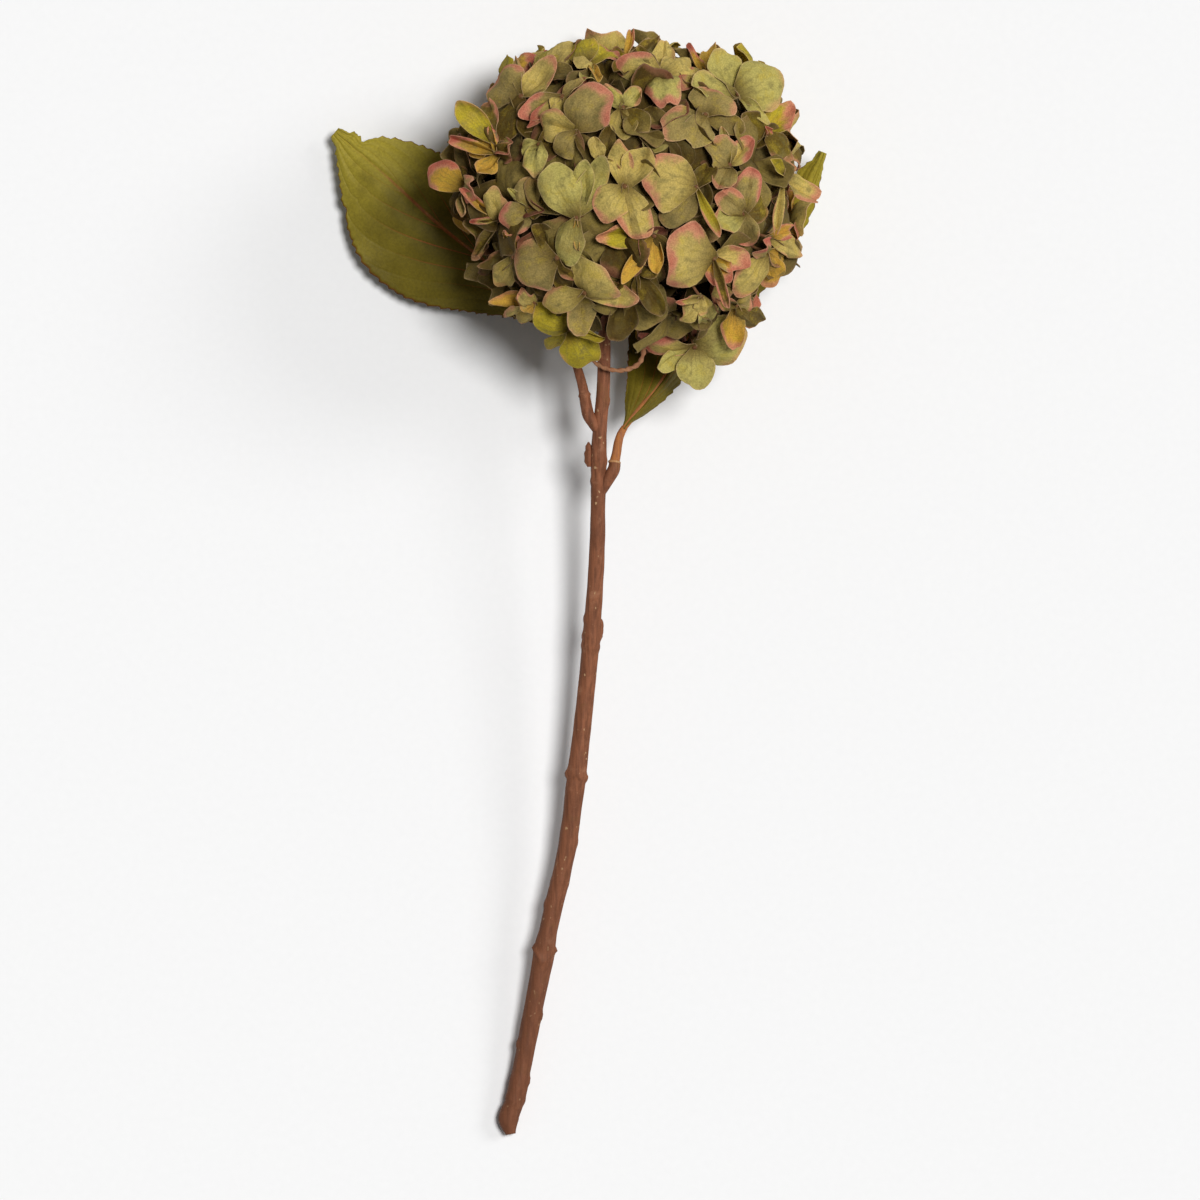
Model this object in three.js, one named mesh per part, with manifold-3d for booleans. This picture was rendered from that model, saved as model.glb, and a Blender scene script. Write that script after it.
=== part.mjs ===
// A cut hydrangea lying on a surface: a woody stem with two leaves, two buds and a
// withered stalk, and a round head of four-petalled florets on forked branches.
//
// Millimetres, +Z up.  x runs across the flower and y along the stem towards the head.
// Everything is placed from the heart of the head, where the stem divides, and the whole
// flower is shifted at the end so that the origin is at the bottom centre of its box.

import * as THREE from 'three'
import { mergeVertices } from 'three/addons/utils/BufferGeometryUtils.js'
import Module from 'manifold-3d'

const wasm = await Module()
wasm.setup()

// Driving dimensions.
const heartHeight = 66
const headRadii = new THREE.Vector3(80, 71, 72)
const floretRadius = 21
const petalThickness = 0.9
const petalCup = 2.4
const pedicelRadius = 0.9
const forkDistance = 12
const twigEnd = 24.4
const pedicelStart = 24.8
const knotRadius = 5
const clearance = 0.3
const leafClearance = 3.2
const bladeThickness = 0.9
const stalkThickness = 3.2

const floorHeight = -heartHeight
const up = new THREE.Vector3(0, 0, 1)

// Florets of the upper side: across, along, and how far out each stands (1 is the full
// head).  The underside is filled evenly by a loop.
const upperFlorets = [
  [-47.7, 44.6, 1],
  [-22.5, 27, 1.02],
  [47.3, 44.1, 1.03],
  [-1.8, 3.6, 0.98],
  [29.3, 3.2, 1.02],
  [52.2, -8.1, 0.98],
  [70.7, 9.9, 0.98],
  [-22.5, -9.9, 1.02],
  [-19.4, -43.2, 1],
  [37.8, -27.9, 1],
  [29.7, -66.2, 1],
  [-74.7, 4.5, 0.98],
  [-61, 20, 0.96],
  [-46, -5.4, 0.95],
  [-53, -28, 0.96],
  [-32, -28, 0.99],
  [12, -19, 0.95],
  [-2.7, 40.5, 0.96],
  [-18, 61, 0.98],
  [15, 55, 0.98],
  [20, 27, 0.96],
  [63, 29, 0.98],
  [46, 14, 0.97],
  [63, -25, 0.97],
  [4, -36, 0.95],
  [-27, -61, 0.96],
  [50, -50, 0.96],
]
const undersideFlorets = 19
const openAngle = THREE.MathUtils.degToRad(31)

// Stem: route across and along, from the heart to the cut end.
const stemRoute = [
  [0, 0],
  [-5, -29],
  [-10.4, -58.5],
  [-11, -83.3],
  [-12.8, -103.5],
  [-13.3, -121.5],
  [-14.2, -161.6],
  [-16.7, -198],
  [-19.8, -229.5],
  [-23.4, -260],
  [-28.4, -297],
  [-34, -319.5],
  [-41.9, -360],
  [-50.9, -405],
  [-56.3, -421.2],
]
const stemSides = 12
const stemSag = 3
const cutEndRadius = 4.8
const stemTopRadius = 2.9
const stemFootRadius = 4.2
const thickeningStart = 40
const thickeningEnd = 270
const stemJoints = [
  { along: 119, swell: 0.7, spread: 5 },
  { along: 200, swell: 0.5, spread: 4 },
  { along: 263, swell: 0.5, spread: 4 },
  { along: 345, swell: 1.1, spread: 3.5 },
  { along: 411, swell: 0.6, spread: 4 },
]

// Leaves: midrib from the stem to the tip, where along the blade it is widest, and how far
// it reaches there to each side of the midrib.
const stalkHalfWidth = 1.6
const tipHalfWidth = 1.2
const leftLeaf = {
  midrib: [
    [-17.7, -97, -15],
    [-20.5, -84, -18],
    [-25, -70.5, -25],
    [-39.6, -49.5, -38],
    [-59, -31, -45],
    [-84, -11.3, -47],
    [-110.3, 12.8, -50],
    [-132.5, 32, -55],
  ],
  stalkShare: 0.24,
  widestShare: 0.58,
  leftReach: 38,
  rightReach: 28,
  leftFold: 12,
  rightFold: 16,
}
const rightLeaf = {
  midrib: [
    [-6.8, -122, -19],
    [-5.2, -114, -20],
    [-1.8, -102.6, -21.5],
    [14.2, -82.9, -28],
    [28.5, -60, -39],
    [45.9, -40.5, -48],
    [64.5, -19, -49],
    [79, 0, -43],
    [88.5, 22, -34],
  ],
  stalkShare: 0.11,
  widestShare: 0.5,
  leftReach: 36,
  rightReach: 16,
  leftFold: 34,
  rightFold: 44,
}

const upperBud = { foot: [-18.9, -119.5, -20.6], tip: [-19.6, -107, -18.6], radius: 1.7 }
const lowerBud = { foot: [-11.2, -195.5, -31.8], tip: [-10.6, -186.5, -30.4], radius: 1.1 }
const witheredStalk = [
  [-4, -44, 7],
  [0.5, -53.5, 3],
  [5, -59.5, -1],
  [7, -67, -4],
  [5, -73.5, -6],
  [-1, -76.6, -6],
  [-8, -76.5, -4.6],
  [-14, -74, -5.2],
  [-18, -69.5, -7],
]
const witheredRadius = 0.85

const colours = {
  petal: { color: '#9a8f52', roughness: 0.85, metalness: 0 },
  branch: { color: '#6b5a30', roughness: 0.85, metalness: 0 },
  stem: { color: '#7d533b', roughness: 0.8, metalness: 0 },
  leaf: { color: '#5c5522', roughness: 0.7, metalness: 0 },
  bud: { color: '#7a5535', roughness: 0.8, metalness: 0 },
}

// ---- Small tools -------------------------------------------------------------------

function named(name, geometry, finish) {
  const mesh = new THREE.Mesh(geometry, new THREE.MeshStandardMaterial(finish))
  mesh.name = name
  return mesh
}

// Only positions, with the seam and cap vertices shared, so that the surface is closed.
function welded(geometry) {
  const bare = geometry.clone()
  bare.deleteAttribute('normal')
  bare.deleteAttribute('uv')
  return mergeVertices(bare, 1e-4)
}

function reshaped(geometry, place) {
  const shape = welded(geometry)
  const position = shape.attributes.position
  const vertex = new THREE.Vector3()
  for (let i = 0; i < position.count; i++) {
    const moved = place(vertex.fromBufferAttribute(position, i))
    position.setXYZ(i, moved.x, moved.y, moved.z)
  }
  return shape
}

function solidOf(geometry) {
  const shape = welded(geometry)
  return new wasm.Manifold(new wasm.Mesh({
    numProp: 3,
    vertProperties: Float32Array.from(shape.attributes.position.array),
    triVerts: Uint32Array.from(shape.index.array),
  }))
}

function joined(geometries) {
  const solid = geometries.map(solidOf).reduce((whole, piece) => whole.add(piece))
  const mesh = solid.getMesh()
  const geometry = new THREE.BufferGeometry()
  geometry.setAttribute('position', new THREE.BufferAttribute(mesh.vertProperties, 3))
  geometry.setIndex(new THREE.BufferAttribute(mesh.triVerts, 1))
  return geometry
}

function rod(from, to, fromRadius, toRadius, sides) {
  const reach = new THREE.Vector3().subVectors(to, from)
  const geometry = new THREE.CylinderGeometry(toRadius, fromRadius, reach.length(), sides)
  geometry.translate(0, reach.length() / 2, 0)
  const turn = new THREE.Quaternion().setFromUnitVectors(
    new THREE.Vector3(0, 1, 0), reach.clone().normalize())
  geometry.applyQuaternion(turn)
  return geometry.translate(from.x, from.y, from.z)
}

// ---- Stem --------------------------------------------------------------------------

const stemReach = -stemRoute[stemRoute.length - 1][1]

function stemHeight(y) {
  const share = -y / stemReach
  const drop = (heartHeight - cutEndRadius) * share
  return -drop - stemSag * Math.sin(Math.PI * share)
}

const stemCurve = new THREE.CatmullRomCurve3(
  stemRoute.map(([x, y]) => new THREE.Vector3(x, y, stemHeight(y))))
const stemLength = stemCurve.getLength()
const stemDirection = stemCurve.getPointAt(0.05).normalize()

function stemRadius(along) {
  const joints = stemJoints.reduce(
    (sum, joint) => sum + joint.swell * Math.exp(-(((along - joint.along) / joint.spread) ** 2)), 0)
  const thickening = THREE.MathUtils.smoothstep(along, thickeningStart, thickeningEnd)
  const plain = THREE.MathUtils.lerp(stemTopRadius, stemFootRadius, thickening)
  const knot = (knotRadius - stemTopRadius) * Math.exp(-((along / 5) ** 2))
  const flare = 0.7 * Math.exp(-(((stemLength - along) / 9) ** 2))
  return plain + joints + knot + flare
}

// Rings sit closer together on the knot and at the joints than on the plain stretches.
function stemStations() {
  const stations = new Set([0, 2.5, 5, 8, 12])
  for (let along = 24; along < stemLength - 8; along += 13) stations.add(along)
  for (const { along, spread } of stemJoints) {
    for (const step of [-1.6, -0.8, 0, 0.8, 1.6]) stations.add(along + step * spread)
  }
  for (const back of [12, 6, 2, 0]) stations.add(stemLength - back)
  return [...stations].sort((a, b) => a - b)
}

// The rounded end of the knot reaches past the heart, opposite to the stem.
function stem() {
  const dome = [0.98, 0.85, 0.5].map((share) => {
    return { along: 0, beyond: knotRadius * share, radius: knotRadius * Math.sqrt(1 - share * share) }
  })
  const plain = stemStations().map((along) => ({ along, beyond: 0, radius: stemRadius(along) }))
  const rings = [...dome, ...plain]
  const tube = new THREE.CylinderGeometry(1, 1, 1, stemSides, rings.length - 1)
  return reshaped(tube, (vertex) => {
    const ring = rings[Math.round((0.5 - vertex.y) * (rings.length - 1))]
    const share = Math.min(ring.along / stemLength, 1)
    const tangent = stemCurve.getTangentAt(share)
    const side = new THREE.Vector3().crossVectors(tangent, up).normalize()
    const top = new THREE.Vector3().crossVectors(side, tangent)
    return stemCurve.getPointAt(share)
      .addScaledVector(stemDirection, -ring.beyond)
      .addScaledVector(side, vertex.x * ring.radius)
      .addScaledVector(top, -vertex.z * ring.radius)
  })
}

// ---- Leaves ------------------------------------------------------------------------

// Half the width of a blade: an arch from its foot to its tip, highest where it is widest.
function halfWidth(leaf, reach, bladeShare) {
  const lean = Math.log(0.5) / Math.log(leaf.widestShare)
  const arch = Math.sin(Math.PI * bladeShare ** lean)
  const least = THREE.MathUtils.lerp(stalkHalfWidth, tipHalfWidth, bladeShare)
  return Math.max(reach * arch, least)
}

// A point of a leaf's middle surface, from 0 to 1 along it and from -1 to 1 across it.
function leafPoint(leaf, curve, along, across) {
  const tangent = curve.getTangentAt(along)
  const right = new THREE.Vector3().crossVectors(tangent, up).normalize()
  const top = new THREE.Vector3().crossVectors(right, tangent)
  const bladeShare = Math.max((along - leaf.stalkShare) / (1 - leaf.stalkShare), 0)
  const reach = across < 0 ? leaf.leftReach : leaf.rightReach
  const width = halfWidth(leaf, reach, bladeShare) * Math.abs(across)
  const openness = Math.min(bladeShare * 5, 1)
  const fold = THREE.MathUtils.degToRad(across < 0 ? leaf.leftFold : leaf.rightFold) * openness
  const point = curve.getPointAt(along)
    .addScaledVector(right, Math.sign(across) * width * Math.cos(fold))
    .addScaledVector(top, -width * Math.sin(fold))
  point.z = Math.max(point.z, floorHeight + bladeThickness)
  return point
}

function leafCurve(leaf) {
  return new THREE.CatmullRomCurve3(leaf.midrib.map((point) => new THREE.Vector3(...point)))
}

function leafSolid(leaf) {
  const curve = leafCurve(leaf)
  const slab = new THREE.BoxGeometry(1, 1, 1, 20, 6, 1)
  return reshaped(slab, (vertex) => {
    const along = vertex.x + 0.5
    const across = -vertex.y * 2
    const openness = THREE.MathUtils.smoothstep(along, leaf.stalkShare * 0.8, leaf.stalkShare + 0.08)
    const thickness = THREE.MathUtils.lerp(stalkThickness, bladeThickness, openness)
    const roundness = 1 - 0.45 * (1 - openness) * across * across
    const point = leafPoint(leaf, curve, along, across)
    point.z += vertex.z * thickness * roundness
    return point
  })
}

function leafSamples(leaf) {
  const curve = leafCurve(leaf)
  const samples = []
  for (let along = 0; along <= 1; along += 0.02) {
    for (let across = -1; across <= 1; across += 0.1) {
      samples.push(leafPoint(leaf, curve, along, across))
    }
  }
  return samples
}

// ---- Head --------------------------------------------------------------------------

// A place on the head, as a direction from the heart and a distance along it.
function upperPlace([x, y, lift]) {
  const plan = (x / headRadii.x) ** 2 + (y / headRadii.y) ** 2
  const z = headRadii.z * Math.sqrt(Math.max(1 - plan, 0))
  const point = new THREE.Vector3(x, y, z)
  return { direction: point.clone().normalize(), distance: point.length() * lift }
}

function undersidePlaces() {
  const places = []
  const goldenAngle = Math.PI * (3 - Math.sqrt(5))
  const trials = undersideFlorets + 3
  for (let i = 0; i < trials && places.length < undersideFlorets; i++) {
    const z = -0.12 - 0.88 * ((i + 0.5) / trials)
    const ringRadius = Math.sqrt(1 - z * z)
    const turn = i * goldenAngle + 0.4
    const direction = new THREE.Vector3(ringRadius * Math.cos(turn), ringRadius * Math.sin(turn), z)
    if (direction.angleTo(stemDirection) < openAngle) continue
    const stretch = direction.clone().divide(headRadii).length()
    places.push({ direction, distance: 1 / stretch })
  }
  return places
}

const places = [...upperFlorets.map(upperPlace), ...undersidePlaces()]
const leafCloud = [...leafSamples(leftLeaf), ...leafSamples(rightLeaf)]

// How much of its sideways reach a vertex keeps, so that it stays in its own floret's
// wedge of the head and clear of the neighbours'.
function keptReach(place, axial, lateral) {
  let kept = 1
  for (const other of places) {
    if (other === place) continue
    const across = new THREE.Vector3().subVectors(place.direction, other.direction).normalize()
    const towards = -lateral.dot(across)
    if (towards <= 0) continue
    const room = axial * place.direction.dot(across) - clearance
    kept = Math.min(kept, room / towards)
  }
  return kept
}

// Pedicel and four cupped petals, as one lathed shape drawn in between the petals.
function floret(place, distance) {
  const rim = distance + petalCup
  const profile = [
    [0, pedicelStart],
    [pedicelRadius, pedicelStart],
    [pedicelRadius, distance - 3],
    [floretRadius * 0.6, distance - 0.6],
    [floretRadius, rim - petalThickness],
    [floretRadius, rim],
    [0, distance + 0.4],
  ]
  const lathe = new THREE.LatheGeometry(profile.map(([r, h]) => new THREE.Vector2(r, h)), 16)
  const sideways = new THREE.Vector3().crossVectors(up, place.direction).normalize()
  const upwards = new THREE.Vector3().crossVectors(sideways, place.direction)
  return reshaped(lathe, (vertex) => {
    const axial = vertex.y
    const isPetal = Math.hypot(vertex.x, vertex.z) > pedicelRadius * 2
    const lobe = isPetal ? 0.84 + 0.16 * Math.cos(4 * Math.atan2(vertex.z, vertex.x)) : 1
    const lateral = new THREE.Vector3()
      .addScaledVector(sideways, vertex.x * lobe)
      .addScaledVector(upwards, vertex.z * lobe)
    lateral.multiplyScalar(keptReach(place, axial, lateral))
    return lateral.addScaledVector(place.direction, axial)
  })
}

function isClear(geometry) {
  const position = geometry.attributes.position
  const vertex = new THREE.Vector3()
  for (let i = 0; i < position.count; i++) {
    vertex.fromBufferAttribute(position, i)
    if (vertex.z < floorHeight) return false
    if (leafCloud.some((point) => point.distanceTo(vertex) < leafClearance)) return false
  }
  return true
}

// Each floret stands as far out as the surface below and the leaves let it.
function settledFloret(place) {
  for (let distance = place.distance; distance > 40; distance -= 0.1) {
    const geometry = floret(place, distance)
    if (isClear(geometry)) return geometry
  }
  throw new Error('a floret has no room')
}

// One branch runs on from the stem and six stand round it.
function branchDirections() {
  const directions = [stemDirection.clone().negate()]
  const side = new THREE.Vector3().crossVectors(stemDirection, up).normalize()
  for (let i = 0; i < 6; i++) {
    const tilted = stemDirection.clone().applyAxisAngle(side, THREE.MathUtils.degToRad(78))
    directions.push(tilted.applyAxisAngle(stemDirection, (i / 6) * Math.PI * 2))
  }
  return directions
}

function branch(direction, directions) {
  const start = direction.clone().multiplyScalar(knotRadius + clearance)
  const fork = direction.clone().multiplyScalar(forkDistance)
  const twigs = places
    .filter((place) => directions.every((other) =>
      other === direction || place.direction.dot(direction) > place.direction.dot(other)))
    .map((place) => rod(fork, place.direction.clone().multiplyScalar(twigEnd), 0.95, 0.75, 6))
  const shaft = rod(start, direction.clone().multiplyScalar(forkDistance + 1), 1.4, 1.3, 8)
  return joined([shaft, ...twigs])
}

// ---- Buds and the withered stalk ---------------------------------------------------

function bud({ foot, tip, radius }) {
  const from = new THREE.Vector3(...foot)
  const axis = new THREE.Vector3(...tip).sub(from)
  const profile = [[0, 0], [0.7, 0.06], [1, 0.35], [0.72, 0.7], [0, 1]]
  const lathe = new THREE.LatheGeometry(
    profile.map(([r, h]) => new THREE.Vector2(r * radius, h * axis.length())), 8)
  lathe.applyQuaternion(new THREE.Quaternion().setFromUnitVectors(
    new THREE.Vector3(0, 1, 0), axis.normalize()))
  return welded(lathe.translate(from.x, from.y, from.z))
}

function curledStalk() {
  const route = new THREE.CatmullRomCurve3(witheredStalk.map((point) => new THREE.Vector3(...point)))
  const section = new THREE.Shape()
  section.absarc(0, 0, witheredRadius, 0, Math.PI * 2)
  return welded(new THREE.ExtrudeGeometry(section, {
    steps: 26,
    curveSegments: 4,
    bevelEnabled: false,
    extrudePath: route,
  }))
}

// ---- The whole flower --------------------------------------------------------------

const flower = new THREE.Group()
flower.add(named('main_stem', stem(), colours.stem))
flower.add(named('left_leaf', leafSolid(leftLeaf), colours.leaf))
flower.add(named('right_leaf', leafSolid(rightLeaf), colours.leaf))
flower.add(named('upper_bud', bud(upperBud), colours.bud))
flower.add(named('lower_bud', bud(lowerBud), colours.bud))
flower.add(named('withered_stalk', curledStalk(), colours.branch))

branchDirections().forEach((direction, i, directions) => {
  flower.add(named(`branch_${i + 1}`, branch(direction, directions), colours.branch))
})
places.forEach((place, i) => {
  const number = String(i + 1).padStart(2, '0')
  flower.add(named(`floret_${number}`, settledFloret(place), colours.petal))
})

const box = new THREE.Box3().setFromObject(flower, true)
const middle = box.getCenter(new THREE.Vector3())
flower.position.set(-middle.x, -middle.y, -box.min.z)

const group = new THREE.Group()
group.add(flower)
export default group
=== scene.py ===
import math
import random

import bmesh
import bpy
from mathutils import Matrix, Vector, noise
from mathutils.bvhtree import BVHTree


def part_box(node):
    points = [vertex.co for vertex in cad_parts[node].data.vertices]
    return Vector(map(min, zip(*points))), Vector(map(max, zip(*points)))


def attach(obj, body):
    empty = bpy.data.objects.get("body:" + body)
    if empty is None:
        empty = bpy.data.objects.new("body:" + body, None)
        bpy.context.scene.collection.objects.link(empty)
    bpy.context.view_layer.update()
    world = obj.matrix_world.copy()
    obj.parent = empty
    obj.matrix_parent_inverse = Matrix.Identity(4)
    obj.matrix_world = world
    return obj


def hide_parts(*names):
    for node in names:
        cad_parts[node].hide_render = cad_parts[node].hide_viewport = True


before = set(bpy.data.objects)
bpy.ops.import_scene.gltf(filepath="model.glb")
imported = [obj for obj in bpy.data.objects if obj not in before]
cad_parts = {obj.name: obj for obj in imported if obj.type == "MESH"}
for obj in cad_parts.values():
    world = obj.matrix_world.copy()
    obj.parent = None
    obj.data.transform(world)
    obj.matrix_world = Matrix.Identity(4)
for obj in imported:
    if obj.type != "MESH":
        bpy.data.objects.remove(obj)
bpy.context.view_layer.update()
random.seed(11)

mm = 0.001
skyward = Vector((0, 0, 1))


# small helpers

def smooth(value, low=0.0, high=1.0):
    share = min(max((value - low) / (high - low), 0.0), 1.0)
    return share * share * (3 - 2 * share)


def mix(low, high, share):
    return low + (high - low) * share


def linearColour(red, green, blue):
    def channel(value):
        value = value / 255
        return value / 12.92 if value <= 0.04045 else ((value + 0.055) / 1.055) ** 2.4
    return (channel(red), channel(green), channel(blue), 1.0)


def deselectAll():
    for other in bpy.context.selected_objects:
        other.select_set(False)


def selectOnly(objects, active):
    deselectAll()
    for thing in objects:
        thing.select_set(True)
    bpy.context.view_layer.objects.active = active


def joinPieces(objects, name):
    selectOnly(objects, objects[0])
    if len(objects) > 1:
        bpy.ops.object.join()
    joined = bpy.context.view_layer.objects.active
    joined.name = name
    joined.data.name = name
    return joined


def shadeSmooth(piece):
    for polygon in piece.data.polygons:
        polygon.use_smooth = True


def applyModifiers(piece):
    selectOnly([piece], piece)
    for modifier in list(piece.modifiers):
        bpy.ops.object.modifier_apply(modifier=modifier.name)


def smoothPolyline(points, share):
    # a point of a soft curve through the points, 0 at the first and 1 at the last
    count = len(points) - 1
    place = min(max(share, 0.0), 1.0) * count
    index = min(int(place), count - 1)
    step = place - index
    before = points[max(index - 1, 0)]
    start = points[index]
    end = points[index + 1]
    after = points[min(index + 2, count)]
    return 0.5 * (
        2 * start
        + (end - before) * step
        + (2 * before - 5 * start + 4 * end - after) * step * step
        + (3 * start - before - 3 * end + after) * step ** 3
    )


def wayAlong(points, share, step):
    # the way the curve runs there, taken over a short stretch to both sides
    return smoothPolyline(points, share + step) - smoothPolyline(points, share - step)


def hump(value, width):
    # 1 at zero, falling off softly to both sides
    return math.exp(-((value / width) ** 2))


def numberAt(table, share):
    place = min(max(share, 0.0), 1.0) * (len(table) - 1)
    index = min(int(place), len(table) - 2)
    return mix(table[index], table[index + 1], smooth(place - index))


# materials

class Graph:
    # a material's node tree, with short ways to add and link nodes
    def __init__(self, name):
        self.material = bpy.data.materials.new(name)
        self.material.use_nodes = True
        self.tree = self.material.node_tree
        self.shader = self.tree.nodes["Principled BSDF"]
        self.objectCoords = self.add("ShaderNodeTexCoord").outputs["Object"]

    def add(self, kind, **settings):
        node = self.tree.nodes.new(kind)
        for key, value in settings.items():
            setattr(node, key, value)
        return node

    def feed(self, node, socket, value):
        if isinstance(value, bpy.types.NodeSocket):
            self.tree.links.new(value, node.inputs[socket])
        else:
            node.inputs[socket].default_value = value

    def maths(self, operation, first, second=0.0, clamp=False):
        node = self.add("ShaderNodeMath", operation=operation, use_clamp=clamp)
        self.feed(node, 0, first)
        self.feed(node, 1, second)
        return node.outputs[0]

    def plus(self, first, second, clamp=False):
        return self.maths("ADD", first, second, clamp)

    def minus(self, first, second):
        return self.maths("SUBTRACT", first, second)

    def times(self, first, second, clamp=False):
        return self.maths("MULTIPLY", first, second, clamp)

    def band(self, value, low, high, outLow=0.0, outHigh=1.0):
        node = self.add("ShaderNodeMapRange", interpolation_type="SMOOTHSTEP")
        self.feed(node, 0, value)
        self.feed(node, 1, low)
        self.feed(node, 2, high)
        self.feed(node, 3, outLow)
        self.feed(node, 4, outHigh)
        return node.outputs[0]

    def blend(self, share, first, second, kind="MIX"):
        node = self.add("ShaderNodeMix", data_type="RGBA", blend_type=kind)
        self.feed(node, 0, share)
        self.feed(node, 6, first)
        self.feed(node, 7, second)
        return node.outputs[2]

    def noise(self, scale, detail=3.0, roughness=0.5, stretch=None):
        node = self.add("ShaderNodeTexNoise")
        place = self.objectCoords
        if stretch:
            mapping = self.add("ShaderNodeMapping")
            self.feed(mapping, 0, place)
            mapping.inputs["Scale"].default_value = stretch
            place = mapping.outputs[0]
        self.feed(node, "Vector", place)
        node.inputs["Scale"].default_value = scale
        node.inputs["Detail"].default_value = detail
        node.inputs["Roughness"].default_value = roughness
        return node.outputs["Fac"]

    def ramp(self, value, stops):
        node = self.add("ShaderNodeValToRGB")
        self.feed(node, 0, value)
        elements = node.color_ramp.elements
        while len(elements) < len(stops):
            elements.new(0.5)
        for element, (position, colour) in zip(elements, stops):
            element.position = position
            element.color = colour
        return node.outputs[0]

    def bump(self, height, strength, distance, under=None):
        node = self.add("ShaderNodeBump")
        self.feed(node, "Height", height)
        node.inputs["Strength"].default_value = strength
        node.inputs["Distance"].default_value = distance
        if under:
            self.feed(node, "Normal", under)
        return node.outputs[0]

    def finish(self, colour, roughness, normal, specular):
        self.feed(self.shader, "Base Color", colour)
        self.feed(self.shader, "Roughness", roughness)
        self.feed(self.shader, "Normal", normal)
        self.shader.inputs["Specular IOR Level"].default_value = specular
        return self.material


petalFinish = {
    "sage": (180, 168, 94),
    "khaki": (196, 172, 96),
    "dusk": (154, 134, 80),
    "olive": (94, 74, 30),
    "lime": (180, 162, 46),
    "gold": (200, 154, 62),
    "peach": (198, 134, 106),
    "rose": (180, 92, 80),
    "paleRim": (226, 190, 150),
    "streak": (180, 156, 52),
    "smoke": (112, 104, 62),
    # painted shade colour, for the petal feet and for petals low or deep in the head
    "shadeBrown": (52, 36, 12),
}


def makePetalMaterial():
    graph = Graph("petalFinish")
    tint = {key: linearColour(*value) for key, value in petalFinish.items()}
    look = graph.add("ShaderNodeAttribute", attribute_name="petalLook")
    split = graph.add("ShaderNodeSeparateColor")
    graph.feed(split, 0, look.outputs["Color"])
    rim, tone, blush = split.outputs[0], split.outputs[1], split.outputs[2]
    # the alpha holds how much painted shade the petal gets, 1 for none
    shade = look.outputs["Alpha"]
    mapUv = graph.add("ShaderNodeUVMap", uv_map="petalMap").outputs[0]
    fanSplit = graph.add("ShaderNodeSeparateXYZ")
    graph.feed(fanSplit, 0, mapUv)
    fan, along = fanSplit.outputs[0], fanSplit.outputs[1]

    cloud = graph.noise(75.0, 3.0)
    patches = graph.noise(190.0, 4.0, 0.6)
    specks = graph.noise(1500.0, 2.0, 0.6)
    cloudShift = graph.minus(cloud, 0.5)

    shifted = graph.plus(tone, graph.times(cloudShift, 0.26), True)
    colour = graph.ramp(shifted, [
        (0.0, tint["sage"]), (0.2, tint["khaki"]), (0.4, tint["dusk"]), (0.6, tint["olive"]),
        (0.8, tint["lime"]), (1.0, tint["gold"]),
    ])
    yellowing = graph.plus(patches, graph.times(graph.minus(specks, 0.5), 0.22))
    colour = graph.blend(graph.band(yellowing, 0.5, 0.7, 0.0, 0.4), colour, tint["streak"])
    colour = graph.blend(graph.band(patches, 0.48, 0.3, 0.0, 0.55), colour, tint["smoke"])
    weathering = graph.noise(48.0, 2.0)
    colour = graph.blend(graph.band(weathering, 0.5, 0.34, 0.0, 0.5), colour, tint["dusk"])

    # fine veins fan out from the foot of each petal
    wobble = graph.times(graph.noise(260.0, 2.0), 0.16)
    veinWave = graph.maths("SINE", graph.times(graph.plus(fan, wobble), 58.0))
    veins = graph.times(graph.band(veinWave, 0.4, 1.0), graph.band(along, 0.95, 0.5))
    colour = graph.blend(graph.times(veins, 0.3), colour, tint["smoke"])

    # the foot of the petal is darker: olive that is partly its own colour and partly painted shade, then
    # painted shade in brown right at the foot, where the petals crowd together
    colour = graph.blend(graph.band(along, 0.5, 0.04, 0.0, 0.78), colour, tint["olive"])
    colour = graph.blend(graph.band(along, 0.2, 0.0, 0.0, 0.4), colour, tint["shadeBrown"])

    # pink comes in from the rim, ragged and strongest at the tip
    rimAtTip = graph.times(rim, graph.band(along, 0.12, 0.55))
    reach = graph.plus(graph.times(rimAtTip, 0.8), graph.times(along, 0.2))
    ragged = graph.plus(reach, graph.times(cloudShift, 0.95))
    ragged = graph.plus(ragged, graph.times(graph.minus(patches, 0.5), 0.4))
    # and one side of a petal turns before the other
    ragged = graph.plus(ragged, graph.times(graph.minus(fan, 0.5), 0.5))
    start = graph.minus(1.02, graph.times(blush, 0.5))
    pink = graph.band(graph.minus(ragged, start), -0.08, 0.2)
    pink = graph.times(pink, graph.times(blush, 1.5, True))
    rosyShare = graph.times(graph.band(graph.minus(ragged, start), 0.05, 0.4), blush)
    rosy = graph.blend(rosyShare, tint["peach"], tint["rose"])
    colour = graph.blend(graph.times(pink, 0.92), colour, rosy)

    colour = graph.blend(graph.band(rim, 0.93, 1.0, 0.0, 0.3), colour, tint["paleRim"])
    speckle = graph.blend(graph.band(specks, 0.3, 0.7), (0.8, 0.79, 0.76, 1), (1.12, 1.12, 1.1, 1))
    colour = graph.blend(1.0, colour, speckle, "MULTIPLY")
    # painted shade: petals with a shade value below 1 are darkened towards brown
    colour = graph.blend(graph.minus(1.0, shade), colour, tint["shadeBrown"])

    puckers = graph.bump(graph.noise(300.0, 5.0, 0.65), 0.6, 0.0009)
    ribs = graph.bump(graph.times(veinWave, graph.band(along, 0.1, 0.5)), 0.1, 0.0004, puckers)
    weave = graph.bump(specks, 0.1, 0.0002, ribs)
    roughness = graph.band(patches, 0.3, 0.7, 0.7, 0.88)
    return graph.finish(colour, roughness, weave, 0.1)


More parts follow.
